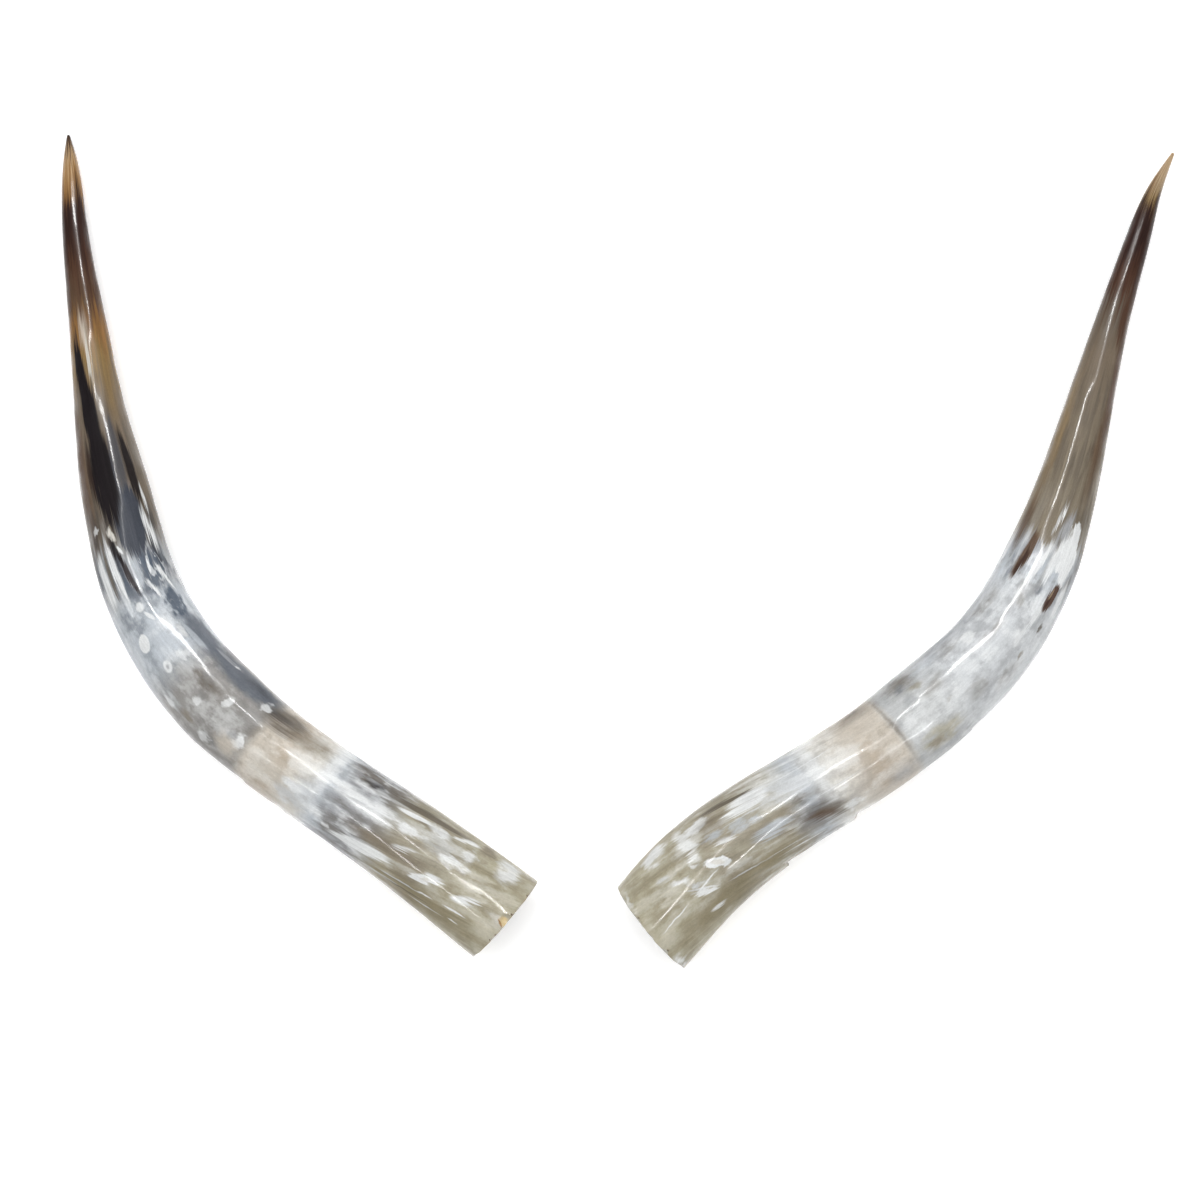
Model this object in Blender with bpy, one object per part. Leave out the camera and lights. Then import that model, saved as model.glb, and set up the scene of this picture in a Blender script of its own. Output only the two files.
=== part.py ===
"""Pair of polished cow horns, lying on their sides with the sawn ends near each other.

Each horn is one piece: a sheath of horn that is open and hollow at the sawn end and solid
towards the tip. Metres, +Z up, +Y towards the tips. The origin is on the resting surface,
under the middle of the pair.
"""

from collections import namedtuple
from math import cos, pi, radians, sin

import bmesh
import bpy
import numpy as np
from mathutils import Matrix, Vector

# Stations along the middle of each horn, from the sawn end to the point:
# x, y and half the width across the horn there
LEFT_STATIONS = [
    (-0.0825, -0.3600, 0.0430),
    (-0.1970, -0.2780, 0.0392),
    (-0.3108, -0.1993, 0.0388),
    (-0.3600, -0.1550, 0.0406),
    (-0.3990, -0.1070, 0.0383),
    (-0.4265, -0.0578, 0.0366),
    (-0.4431, -0.0077, 0.0352),
    (-0.4715, 0.0906, 0.0252),
    (-0.4938, 0.1925, 0.0177),
    (-0.5167, 0.2965, 0.0119),
    (-0.5300, 0.3722, 0.0063),
    (-0.5365, 0.4010, 0.0012),
]
RIGHT_STATIONS = [
    (0.0440, -0.3660, 0.0448),
    (0.0806, -0.3255, 0.0449),
    (0.1870, -0.2450, 0.0395),
    (0.2426, -0.2088, 0.0392),
    (0.2947, -0.1668, 0.0402),
    (0.3399, -0.1228, 0.0398),
    (0.3750, -0.0726, 0.0369),
    (0.4002, -0.0184, 0.0317),
    (0.4350, 0.0860, 0.0230),
    (0.4650, 0.1843, 0.0157),
    (0.4980, 0.2793, 0.0109),
    (0.5122, 0.3172, 0.0078),
    (0.5378, 0.3670, 0.0012),
]

# Height of the underside over the resting surface, by share of the length:
# a horn touches with its sawn end, its bend and its point
UNDERSIDE = [
    (0.0, 0.0),
    (0.12, 0.005),
    (0.25, 0.008),
    (0.38, 0.003),
    (0.5, 0.0),
    (0.62, 0.004),
    (0.75, 0.009),
    (0.88, 0.007),
    (1.0, 0.0),
]

# The section is an oval at the sawn end and round from a share of the length on: height over width
HEIGHT_AT_SAW = 0.92
HEIGHT_AT_POINT = 1.0
ROUND_FROM = 0.625

# Gentle lengthwise flats left by grinding and polishing: how many round the horn, how deep as
# a share of the radius, and their turn along the horn in radians
FLATS = [(3, 0.010, 1.1, 2.0), (5, 0.006, -0.7, 3.0)]

# Sawn end: heading of the cut's square direction in plan, and how far its face looks down
LEFT_SAW = (radians(140), radians(9.5))
RIGHT_SAW = (radians(40), radians(7))
SAW_BLEND = 0.07

# The hollow: wall at the sawn end, its shift towards the inside of the bend, its depth, and how
# blunt its round end is
WALL_AT_SAW = 0.0048
HOLLOW_SHIFT = 0.001
HOLLOW_BLUNTNESS = 0.5
LEFT_HOLLOW_DEPTH = 0.62
RIGHT_HOLLOW_DEPTH = 0.60

# Ledges where a layer of horn ends. A layer swells up to its lip and the next one starts lower.
# Place along the horn, rise to the lip, drop past it, middle of its arc, half its arc, slant.
# Angles are degrees round the horn, 0 at the crest and positive towards the inside of the bend.
Ledge = namedtuple("Ledge", "place rise drop middle half_arc slant")
LEFT_LEDGES = [
    Ledge(0.150, 0.0004, 0.0010, -165, 60, 0.007),
    Ledge(0.214, 0.0008, 0.0008, -115, 60, 0.006),
    Ledge(0.262, 0.0009, 0.0008, -105, 55, -0.006),
    Ledge(0.375, 0.0008, 0.0008, -140, 60, 0.007),
]
RIGHT_LEDGES = [
    Ledge(0.126, 0.0018, 0.0026, -105, 45, 0.008),
    Ledge(0.207, 0.0026, 0.0012, -105, 55, -0.007),
    Ledge(0.323, 0.0010, 0.0010, -110, 50, 0.007),
]
LEDGE_RISE_RUN = 0.055
LEDGE_DROP_RUN = 0.022
LIP_BEFORE = 0.0008
LIP_AFTER = 0.0012

# The chip broken out of the left horn's rim, at the crest
CHIP_WIDTH = 0.014
CHIP_REACH = 0.007
CHIP_DEPTH = 0.0034

# Fineness of the faceted solids
SIDES = 32
RING_SPACING = 0.020
RING_CLEAR_OF_LIP = 0.011
POINT_RINGS = (0.032, 0.019, 0.010, 0.0045, 0.0016)
POINT_RADIUS = 0.0013
HOLLOW_RINGS = 16
ROUTE_SAMPLES = 600
SHARP_EDGE = radians(40)

HORN_TONE = (0.32, 0.30, 0.27, 1.0)
POLISH_ROUGHNESS = 0.22


def natural_cubic(places, values, wanted):
    """Reads the smooth curve through values at places, at the wanted places."""
    t = np.asarray(places, float)
    y = np.asarray(values, float)
    gaps = np.diff(t)
    slopes = np.diff(y) / gaps
    count = len(t)
    system = np.eye(count)
    target = np.zeros(count)
    for i in range(1, count - 1):
        system[i, i - 1 : i + 2] = gaps[i - 1], 2 * (gaps[i - 1] + gaps[i]), gaps[i]
        target[i] = 3 * (slopes[i] - slopes[i - 1])
    bend = np.linalg.solve(system, target)
    x = np.clip(wanted, t[0], t[-1])
    i = np.clip(np.searchsorted(t, x) - 1, 0, count - 2)
    d = x - t[i]
    first = slopes[i] - gaps[i] * (2 * bend[i] + bend[i + 1]) / 3
    third = (bend[i + 1] - bend[i]) / (3 * gaps[i])
    return y[i] + first * d + bend[i] * d**2 + third * d**3


def smooth(x):
    """0 below 0, 1 above 1, and a soft step between."""
    x = min(max(x, 0.0), 1.0)
    return x * x * (3 - 2 * x)


class Horn:
    """The route, width and ledges of one horn, read by distance from the sawn end."""

    def __init__(self, stations, inner_sign, saw, hollow_depth, ledges):
        self.inner_sign = inner_sign
        self.saw_heading, self.saw_dip = saw
        self.hollow_depth = hollow_depth
        self.ledges = ledges
        x, y, half_width = np.array(stations).T
        chords = np.hypot(np.diff(x), np.diff(y))
        marks = np.concatenate([[0.0], np.cumsum(chords)])
        walk = np.linspace(0.0, marks[-1], ROUTE_SAMPLES)
        plan = np.column_stack([natural_cubic(marks, x, walk), natural_cubic(marks, y, walk)])
        self.along = np.concatenate([[0.0], np.cumsum(np.linalg.norm(np.diff(plan, axis=0), axis=1))])
        self.length = self.along[-1]
        self.half_width = natural_cubic(marks, half_width, walk)
        shares, heights = np.array(UNDERSIDE).T
        under = natural_cubic(shares, heights, self.along / self.length)
        self.route = np.column_stack([plan, under + self.half_width * self.flatness(self.along)])
        self.heading = np.gradient(self.route, self.along, axis=0)

    def flatness(self, s):
        """Height over width of the section at s."""
        share = np.asarray(s) / self.length
        return HEIGHT_AT_SAW + (HEIGHT_AT_POINT - HEIGHT_AT_SAW) * np.minimum(1.0, share / ROUND_FROM)

    def radius(self, s):
        to_point = self.length - s
        widest = np.sqrt(2 * POINT_RADIUS * to_point) if to_point > 0 else 0.0
        return min(float(np.interp(s, self.along, self.half_width)), widest)

    def frame(self, s):
        """Centre, direction, inward side and up side of the section at s."""
        centre = Vector([float(np.interp(s, self.along, axis)) for axis in self.route.T])
        ahead = Vector([float(np.interp(s, self.along, axis)) for axis in self.heading.T])
        ahead.normalize()
        left_of_travel = Vector((-ahead.y, ahead.x, 0.0)).normalized()
        up = ahead.cross(left_of_travel)
        return centre, ahead, left_of_travel * self.inner_sign, up

    def lip(self, ledge, angle):
        """Where a ledge's lip lies along the horn at an angle, and how strong the ledge is there."""
        away = (angle - radians(ledge.middle) + pi) % (2 * pi) - pi
        turn = away / radians(ledge.half_arc)
        strength = 0.5 + 0.5 * cos(pi * turn) if abs(turn) < 1 else 0.0
        return ledge.place + ledge.slant * sin(pi * turn) * strength, strength

    def relief(self, s, angle):
        """How far the surface stands proud of the plain section, in metres."""
        share = s / self.length
        flat = sum(depth * cos(n * angle + turn + twist * share) for n, depth, turn, twist in FLATS)
        proud = flat * self.radius(s)
        for ledge in self.ledges:
            lip, strength = self.lip(ledge, angle)
            if s <= lip:
                proud += ledge.rise * strength * smooth(1 + (s - lip) / LEDGE_RISE_RUN)
            else:
                proud -= ledge.drop * strength * smooth(1 - (s - lip) / LEDGE_DROP_RUN)
        return proud

    def on_saw_plane(self, point, s):
        """Slides a point along the horn, fully at the sawn end, so that the cut is flat and slanted."""
        centre, ahead, _, _ = self.frame(s)
        outward = self.saw_normal()
        slide = (centre - point).dot(outward) / self.frame(0.0)[1].dot(outward)
        return point + ahead * slide * max(0.0, 1 - s / SAW_BLEND)

    def saw_normal(self):
        """Outward direction of the sawn face."""
        plan = cos(self.saw_dip)
        return Vector((-cos(self.saw_heading) * plan, -sin(self.saw_heading) * plan, -sin(self.saw_dip)))

    def outer_point(self, s, angle):
        centre, _, inward, up = self.frame(s)
        radius = self.radius(s) + self.relief(s, angle)
        tall = radius * float(self.flatness(s))
        point = centre + inward * radius * sin(angle) + up * tall * cos(angle)
        return self.on_saw_plane(point, s)

    def hollow_point(self, s, angle):
        centre, _, inward, up = self.frame(s)
        taper = (1 - (s / self.hollow_depth) ** 2) ** HOLLOW_BLUNTNESS
        radius = (self.radius(s) - WALL_AT_SAW) * taper
        tall = (self.radius(s) * float(self.flatness(s)) - WALL_AT_SAW) * taper
        middle = centre + inward * HOLLOW_SHIFT
        return self.on_saw_plane(middle + inward * radius * sin(angle) + up * tall * cos(angle), s)

    def outer_places(self, angle):
        """Distances of the outer rings at an angle: even steps, two rings at each lip, the point's."""
        last_even = self.length - POINT_RINGS[0] - 0.5 * RING_SPACING
        places = [0.0]
        steps = round(last_even / RING_SPACING)
        for i in range(1, steps + 1):
            s = last_even * i / steps
            if all(abs(s - ledge.place) > RING_CLEAR_OF_LIP for ledge in self.ledges):
                places.append(s)
        for ledge in self.ledges:
            lip, _ = self.lip(ledge, angle)
            places += [lip - LIP_BEFORE, lip + LIP_AFTER]
        places += [self.length - d for d in POINT_RINGS]
        return sorted(places)

    def hollow_places(self):
        """Distances of the hollow's rings, closer together towards its round end."""
        return [self.hollow_depth * sin(0.5 * pi * i / HOLLOW_RINGS) for i in range(HOLLOW_RINGS)]


def skin(bm, rings):
    """Joins each ring of vertices to the next with four-sided faces."""
    for near, far in zip(rings, rings[1:]):
        for i in range(SIDES):
            j = (i + 1) % SIDES
            bm.faces.new((near[i], near[j], far[j], far[i]))


def close_ring(bm, ring, point):
    """Closes a ring with a fan of triangles to one point."""
    tip = bm.verts.new(point)
    for i in range(SIDES):
        bm.faces.new((ring[i], ring[(i + 1) % SIDES], tip))


def horn_mesh(name, horn):
    """The closed skin of a horn: outside, sawn rim and hollow, lowered onto the resting surface."""
    bm = bmesh.new()
    angles = [2 * pi * i / SIDES for i in range(SIDES)]
    columns = [horn.outer_places(angle) for angle in angles]
    outer = []
    for places in zip(*columns):
        ring = [horn.outer_point(s, angle) for s, angle in zip(places, angles)]
        outer.append([bm.verts.new(point) for point in ring])
    hollow = []
    for s in horn.hollow_places():
        hollow.append([bm.verts.new(horn.hollow_point(s, angle)) for angle in angles])
    skin(bm, outer)
    skin(bm, [outer[0], hollow[0]])
    skin(bm, hollow)
    close_ring(bm, outer[-1], horn.frame(horn.length)[0])
    close_ring(bm, hollow[-1], horn.hollow_point(horn.hollow_depth, 0.0))
    lowest = min(vert.co.z for vert in bm.verts)
    bmesh.ops.translate(bm, verts=bm.verts, vec=(0, 0, -lowest))
    bmesh.ops.recalc_face_normals(bm, faces=bm.faces)
    mesh = bpy.data.meshes.new(name)
    bm.to_mesh(mesh)
    bm.free()
    mesh.shade_smooth()
    mesh.set_sharp_from_angle(angle=SHARP_EDGE)
    return mesh, -lowest


def horn_material(name, tone):
    material = bpy.data.materials.new(name)
    material.use_nodes = True
    shader = material.node_tree.nodes["Principled BSDF"]
    shader.inputs["Base Color"].default_value = tone
    shader.inputs["Roughness"].default_value = POLISH_ROUGHNESS
    shader.inputs["Metallic"].default_value = 0.0
    return material


def new_object(name, mesh, collection):
    thing = bpy.data.objects.new(name, mesh)
    collection.objects.link(thing)
    return thing


def make_horn(name, horn, collection):
    mesh, raised = horn_mesh(name, horn)
    mesh.materials.append(horn_material(name + "_polish", HORN_TONE))
    return new_object(name, mesh, collection), raised


def chip_cutter(horn, raised, collection):
    """A rounded lump that takes the flake out of the rim at the crest of the sawn end."""
    _, ahead, inward, up = horn.frame(0.0)
    bm = bmesh.new()
    bmesh.ops.create_icosphere(bm, subdivisions=2, radius=1.0)
    mesh = bpy.data.meshes.new("rim_chip")
    bm.to_mesh(mesh)
    bm.free()
    cutter = new_object("rim_chip", mesh, collection)
    turned = Matrix((inward, ahead, up)).transposed().to_4x4()
    size = Matrix.Diagonal((0.5 * CHIP_WIDTH, CHIP_REACH, CHIP_DEPTH, 1.0))
    crest = horn.outer_point(0.0, 0.0) + Vector((0, 0, raised))
    cutter.matrix_world = Matrix.Translation(crest) @ turned @ size
    cutter.hide_render = True
    cutter.display_type = "WIRE"
    return cutter


def main():
    for thing in list(bpy.data.objects):
        bpy.data.objects.remove(thing, do_unlink=True)
    horns = bpy.data.collections.new("cow_horns")
    cutters = bpy.data.collections.new("cutters")
    bpy.context.scene.collection.children.link(horns)
    bpy.context.scene.collection.children.link(cutters)

    left = Horn(LEFT_STATIONS, -1, LEFT_SAW, LEFT_HOLLOW_DEPTH, LEFT_LEDGES)
    right = Horn(RIGHT_STATIONS, 1, RIGHT_SAW, RIGHT_HOLLOW_DEPTH, RIGHT_LEDGES)
    left_horn, left_raised = make_horn("left_horn", left, horns)
    make_horn("right_horn", right, horns)

    chip = left_horn.modifiers.new("rim_chip", "BOOLEAN")
    chip.operation = "DIFFERENCE"
    chip.solver = "EXACT"
    chip.object = chip_cutter(left, left_raised, cutters)


main()
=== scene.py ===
"""The pair of polished cow horns, dressed: finer skins, natural markings with a few painted highlights,
floor, lights, camera.
"""
from math import atan2, cos, pi, radians, sin

import bpy
import numpy as np
from mathutils import Matrix, Vector


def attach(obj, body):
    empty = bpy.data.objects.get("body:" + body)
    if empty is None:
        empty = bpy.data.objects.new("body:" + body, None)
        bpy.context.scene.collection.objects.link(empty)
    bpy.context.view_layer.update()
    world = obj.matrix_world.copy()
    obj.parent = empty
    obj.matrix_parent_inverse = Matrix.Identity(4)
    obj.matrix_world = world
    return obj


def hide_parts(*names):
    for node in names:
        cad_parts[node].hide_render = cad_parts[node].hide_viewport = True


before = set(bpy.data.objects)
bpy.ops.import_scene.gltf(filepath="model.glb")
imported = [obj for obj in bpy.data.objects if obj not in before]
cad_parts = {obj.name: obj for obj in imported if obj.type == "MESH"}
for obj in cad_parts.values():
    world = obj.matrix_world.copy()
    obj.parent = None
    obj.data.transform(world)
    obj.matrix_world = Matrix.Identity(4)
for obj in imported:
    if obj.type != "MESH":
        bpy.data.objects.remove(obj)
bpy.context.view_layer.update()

# The two horns' measures, in metres where nothing else is said
# Along each horn's middle, seen from above: x, y, half width
LEFT_STATIONS = [
    (-0.0825, -0.3600, 0.0430),
    (-0.1970, -0.2780, 0.0392),
    (-0.3108, -0.1993, 0.0388),
    (-0.3600, -0.1550, 0.0406),
    (-0.3990, -0.1070, 0.0383),
    (-0.4265, -0.0578, 0.0366),
    (-0.4431, -0.0077, 0.0352),
    (-0.4715, 0.0906, 0.0252),
    (-0.4938, 0.1925, 0.0177),
    (-0.5167, 0.2965, 0.0119),
    (-0.5300, 0.3722, 0.0063),
    (-0.5365, 0.4010, 0.0012),
]
RIGHT_STATIONS = [
    (0.0440, -0.3660, 0.0448),
    (0.0806, -0.3255, 0.0449),
    (0.1870, -0.2450, 0.0395),
    (0.2426, -0.2088, 0.0392),
    (0.2947, -0.1668, 0.0402),
    (0.3399, -0.1228, 0.0398),
    (0.3750, -0.0726, 0.0369),
    (0.4002, -0.0184, 0.0317),
    (0.4350, 0.0860, 0.0230),
    (0.4650, 0.1843, 0.0157),
    (0.4980, 0.2793, 0.0109),
    (0.5122, 0.3172, 0.0078),
    (0.5378, 0.3670, 0.0012),
]
# How high the underside arches: share of the length, height
UNDERSIDE = [
    (0.0, 0.0), (0.12, 0.005), (0.25, 0.008), (0.38, 0.003), (0.5, 0.0),
    (0.62, 0.004), (0.75, 0.009), (0.88, 0.007), (1.0, 0.0),
]
# Height of the section as a share of its width, and the share of the length where it is round
HEIGHT_AT_SAW = 0.92
HEIGHT_AT_POINT = 1.0
ROUND_FROM = 0.625
# Lobes of the section: times round, share of the radius, turn at the saw, turn gained to the point
FLATS = [(3, 0.010, 1.1, 2.0), (5, 0.006, -0.7, 3.0)]
# Each saw cut: the horn's heading there, and how far the cut faces down
LEFT_SAW = (radians(140), radians(9.5))
RIGHT_SAW = (radians(40), radians(7))
SAW_BLEND = 0.07
WALL_AT_SAW = 0.0048
HOLLOW_SHIFT = 0.001
HOLLOW_BLUNTNESS = 0.5
LEFT_HOLLOW_DEPTH = 0.62
RIGHT_HOLLOW_DEPTH = 0.60
POINT_RADIUS = 0.0013

# Ledges where a layer of horn ends: place, rise, drop, middle and half of the arc in degrees, slant
LEFT_LEDGES = [
    (0.150, 0.0004, 0.0010, -165, 60, 0.007),
    (0.214, 0.0008, 0.0008, -115, 60, 0.006),
    (0.262, 0.0009, 0.0008, -105, 55, -0.006),
    (0.375, 0.0008, 0.0008, -140, 60, 0.007),
]
RIGHT_LEDGES = [
    (0.126, 0.0018, 0.0026, -105, 45, 0.008),
    (0.207, 0.0026, 0.0012, -105, 55, -0.007),
    (0.323, 0.0010, 0.0010, -110, 50, 0.007),
]
LEDGE_RISE_RUN = 0.055
LEDGE_DROP_RUN = 0.022
LIP_HALF = 0.0007
LIP_SLIDE_REACH = 0.02
# Ripples that fray a lip: size, times round the horn, shift with the lip's place
LIP_RIPPLES = [(0.0010, 9, 40), (0.0006, 23, 90)]

# Long shallow facets that hand polishing leaves: depth, length, times round the horn, start
WAVES = [
    (0.00020, 0.190, 3, 0.4),
    (0.00010, 0.150, 7, 2.1),
    (0.00006, 0.110, -10, 4.0),
    (0.00002, 0.090, 15, 1.2),
]

# How far scraping has turned the surface near the crest: mm from the sawn end, degrees
LEFT_TURNS = [
    (5, 3), (32, 5), (62, 0), (90, -4), (125, -4), (160, -7), (202, -5), (258, -7), (272, 4),
    (290, 7), (316, 5), (345, 0), (380, -4), (440, -6), (480, -7), (520, -2), (534, 4), (590, 7),
    (622, 0), (650, -7), (698, -7), (710, 0), (735, 7), (800, -3), (860, -5), (936, 0),
]
RIGHT_TURNS = [
    (5, -4), (40, -4), (65, -3), (85, -1), (105, 1), (122, 0), (142, -5), (200, 0), (260, -7),
    (270, 0), (285, 7), (310, 4), (360, -2), (400, -4), (412, 4), (480, -3), (490, 0), (508, 7),
    (640, 7), (655, -7), (690, -7), (703, -4), (745, 0), (780, -6), (850, -7), (916, 0),
]
TURN_SPREAD = (-6, 0, 6)
TURN_MIDDLE = radians(12)
TURN_LOBES = 6
TURN_REACH = radians(42)
TURN_TUCK = 0.7

EDGE_ROUNDING = 0.0006
CHIP_WIDTH = 0.014
CHIP_REACH = 0.007
CHIP_DEPTH = 0.0034

# Bites out of the rough sawn edge: angle and half arc in degrees, depth
LEFT_BITES = [
    (-72, 22, 0.0016), (-26, 6, 0.0009), (22, 5, 0.0008), (52, 9, 0.0007), (178, 20, 0.0010),
]
RIGHT_BITES = [
    (-32, 7, 0.0028), (-68, 20, 0.0020), (-9, 5, 0.0012), (14, 10, 0.0011), (48, 11, 0.0012),
    (165, 18, 0.0012),
]
BITE_RUN = 0.006
# Fine roughness of that edge: depth, and the two counts round the rim that make it uneven
EDGE_RIPPLE = (0.0003, 11, 5)
EDGE_TEETH = (0.0006, 43, 16)

# The straight tube that a horn is shaped from before it is bent. Its rings lie in even steps, with
# extra ones at the mouth, round each ledge's lip and, counted back from the end, at the point.
TUBE_RADIUS = 0.04
SIDES = 48
STEP = 0.011
CUTS = 3
MOUTH_RINGS = [0.0, 0.0006, 0.0014, 0.003, 0.0055]
EVEN_FROM = 0.012
EVEN_SHORTFALL = 0.044
CROWDED = 0.6
LIP_RINGS = [-0.012, -0.006, -0.0026, -0.0007, 0.0007, 0.0028, 0.007, 0.014]
POINT_RINGS = [0.024, 0.017, 0.011, 0.0065, 0.0035, 0.0016, 0.0005]
HOLLOW_RATIO = 0.8
HOLLOW_RINGS = 12
POINT_TRIM = 0.0011
POINT_TRIM_RUN = 0.03
ROUTE_SAMPLES = 900
SMOOTH_ANGLE = radians(50)
AT_SAW = 1e-6

# Fibres drift round the horn as they grow, by this angle in the end, most of it over this length
FIBRE_DRIFT = radians(80)
DRIFT_RUN = 0.2

# The material slots of a horn's faces
OUTSIDE, RIM, HOLLOW = 0, 1, 2


def natural_cubic(places, values, wanted):
    """Reads the smooth curve through values at places, at the wanted places."""
    t = np.asarray(places, float)
    y = np.asarray(values, float)
    gaps = np.diff(t)
    slopes = np.diff(y) / gaps
    count = len(t)
    system = np.eye(count)
    target = np.zeros(count)
    for i in range(1, count - 1):
        system[i, i - 1 : i + 2] = gaps[i - 1], 2 * (gaps[i - 1] + gaps[i]), gaps[i]
        target[i] = 3 * (slopes[i] - slopes[i - 1])
    bend = np.linalg.solve(system, target)
    x = np.clip(wanted, t[0], t[-1])
    i = np.clip(np.searchsorted(t, x) - 1, 0, count - 2)
    d = x - t[i]
    first = slopes[i] - gaps[i] * (2 * bend[i] + bend[i + 1]) / 3
    third = (bend[i + 1] - bend[i]) / (3 * gaps[i])
    return y[i] + first * d + bend[i] * d**2 + third * d**3


def smooth(x):
    """Eases from 0 at 0 to 1 at 1."""
    x = np.clip(x, 0.0, 1.0)
    return x * x * (3 - 2 * x)


def angle_from(angle, degrees):
    """How far round the horn angle is from the given degrees, the short way."""
    return (angle - radians(degrees) + pi) % (2 * pi) - pi


class Horn:
    """One horn's route, section, ledges, edge and hollow. Distances are from the sawn end,
    and angles go round from the crest towards the inside of the bend."""

    def __init__(self, stations, inner_sign, saw, hollow_depth, ledges, turns, bites):
        self.inner_sign = inner_sign
        self.turns = np.array(turns, float).T
        self.bites = bites
        self.hollow_depth = hollow_depth
        self.ledges = ledges
        x, y, half_width = np.array(stations).T
        chords = np.hypot(np.diff(x), np.diff(y))
        marks = np.concatenate([[0.0], np.cumsum(chords)])
        walk = np.linspace(0.0, marks[-1], ROUTE_SAMPLES)
        plan = np.column_stack([natural_cubic(marks, x, walk), natural_cubic(marks, y, walk)])
        steps = np.linalg.norm(np.diff(plan, axis=0), axis=1)
        self.along = np.concatenate([[0.0], np.cumsum(steps)])
        self.length = self.along[-1]
        self.half_width = natural_cubic(marks, half_width, walk)
        shares, heights = np.array(UNDERSIDE).T
        under = natural_cubic(shares, heights, self.along / self.length)
        middle = under + self.half_width * self.flatness(self.along)
        self.route = np.column_stack([plan, middle])
        self.heading = np.gradient(self.route, self.along, axis=0)
        heading, dip = saw
        plan_share = cos(dip)
        self.saw_normal = np.array([-cos(heading) * plan_share, -sin(heading) * plan_share, -sin(dip)])

    def flatness(self, s):
        """The section's height as a share of its width."""
        share = s / self.length
        return HEIGHT_AT_SAW + (HEIGHT_AT_POINT - HEIGHT_AT_SAW) * np.minimum(1.0, share / ROUND_FROM)

    def radius(self, s):
        """Half the horn's width, rounded off at the point."""
        widest = np.sqrt(2 * POINT_RADIUS * np.maximum(self.length - s, 0.0))
        return np.minimum(np.interp(s, self.along, self.half_width), widest)

    def frame(self, s):
        """The middle, and the ways ahead, towards the inside of the bend and up."""
        centre = np.column_stack([np.interp(s, self.along, axis) for axis in self.route.T])
        ahead = np.column_stack([np.interp(s, self.along, axis) for axis in self.heading.T])
        ahead /= np.linalg.norm(ahead, axis=1)[:, None]
        side = np.column_stack([-ahead[:, 1], ahead[:, 0], np.zeros(len(ahead))])
        side /= np.linalg.norm(side, axis=1)[:, None]
        return centre, ahead, side * self.inner_sign, np.cross(ahead, side)

    def lip(self, ledge, angle):
        """Where a ledge's ragged lip lies at each angle, and how strong the ledge is there."""
        place, _, _, middle, half_arc, slant = ledge
        turn = angle_from(angle, middle) / radians(half_arc)
        strength = np.where(np.abs(turn) < 1, 0.5 + 0.5 * np.cos(pi * turn), 0.0)
        ragged = sum(size * np.sin(times * angle + shift * place) for size, times, shift in LIP_RIPPLES)
        return place + (slant * np.sin(pi * turn) + ragged) * strength, strength

    def slide_to_lips(self, s, angle):
        """Moves rings near a ledge so that they follow its slanting lip."""
        moved = s.copy()
        for ledge in self.ledges:
            lip, _ = self.lip(ledge, angle)
            moved += (lip - ledge[0]) * smooth(1 - np.abs(s - ledge[0]) / LIP_SLIDE_REACH)
        return moved

    def relief(self, s, angle):
        """How far the surface stands proud of the plain section: lobes, ledges and facets."""
        share = s / self.length
        flat = sum(depth * np.cos(n * angle + turn + twist * share) for n, depth, turn, twist in FLATS)
        proud = flat * self.radius(s)
        for ledge in self.ledges:
            lip, strength = self.lip(ledge, angle)
            past = smooth((s - lip + LIP_HALF) / (2 * LIP_HALF))
            rise = ledge[1] * smooth(1 + (s - lip) / LEDGE_RISE_RUN)
            drop = ledge[2] * smooth(1 - (s - lip) / LEDGE_DROP_RUN)
            proud += strength * ((1 - past) * rise - past * drop)
        size = self.radius(s) / TUBE_RADIUS
        for depth, length, times, start in WAVES:
            proud += size * depth * (np.sin(2 * pi * s / length + times * angle + start) - 1)
        turn = sum(np.interp(1000 * s + step, *self.turns) for step in TURN_SPREAD) / len(TURN_SPREAD)
        off = angle - TURN_MIDDLE
        near = smooth(1 - np.abs(off) / TURN_REACH)
        lift = np.radians(turn) * np.sin(TURN_LOBES * off) - TURN_TUCK * np.radians(np.abs(turn))
        proud += self.radius(s) * lift * near / TURN_LOBES
        return proud

    def bite(self, angle):
        """How far the rough sawn edge falls short of the saw plane."""
        depth, first, second = EDGE_RIPPLE
        short = depth * (1 + np.sin(first * angle + 1) * np.sin(second * angle + 2))
        depth, first, second = EDGE_TEETH
        short += depth * np.maximum(0, np.sin(first * angle) * np.sin(second * angle + 1))
        for at, half_arc, depth in self.bites:
            short += depth * smooth(1 - np.abs(angle_from(angle, at)) / radians(half_arc))
        return short

    def on_saw_plane(self, point, s):
        """Slides points near the mouth along the horn, so that the mouth lies in the saw plane."""
        centre = self.frame(s)[0]
        ahead = self.frame(s)[1]
        first = self.frame(np.zeros(1))[1][0]
        slide = (centre - point) @ self.saw_normal / first.dot(self.saw_normal)
        return point + ahead * (slide * np.maximum(0.0, 1 - s / SAW_BLEND))[:, None]

    def outer(self, s, angle, share=1.0):
        """Points on the outside, or a share of the way out to it from the middle."""
        centre, ahead, inward, up = self.frame(s)
        corner = 1 - np.clip(s / EDGE_ROUNDING, 0, 1)
        radius = self.radius(s) + self.relief(s, angle) - EDGE_ROUNDING * (1 - np.sqrt(1 - corner**2))
        radius = radius * share
        wide = inward * (radius * np.sin(angle))[:, None]
        tall = up * (radius * self.flatness(s) * np.cos(angle))[:, None]
        placed = self.on_saw_plane(centre + wide + tall, s)
        short = self.bite(angle) * np.clip(1 - s / BITE_RUN, 0, 1)
        return placed + ahead * short[:, None]

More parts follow.
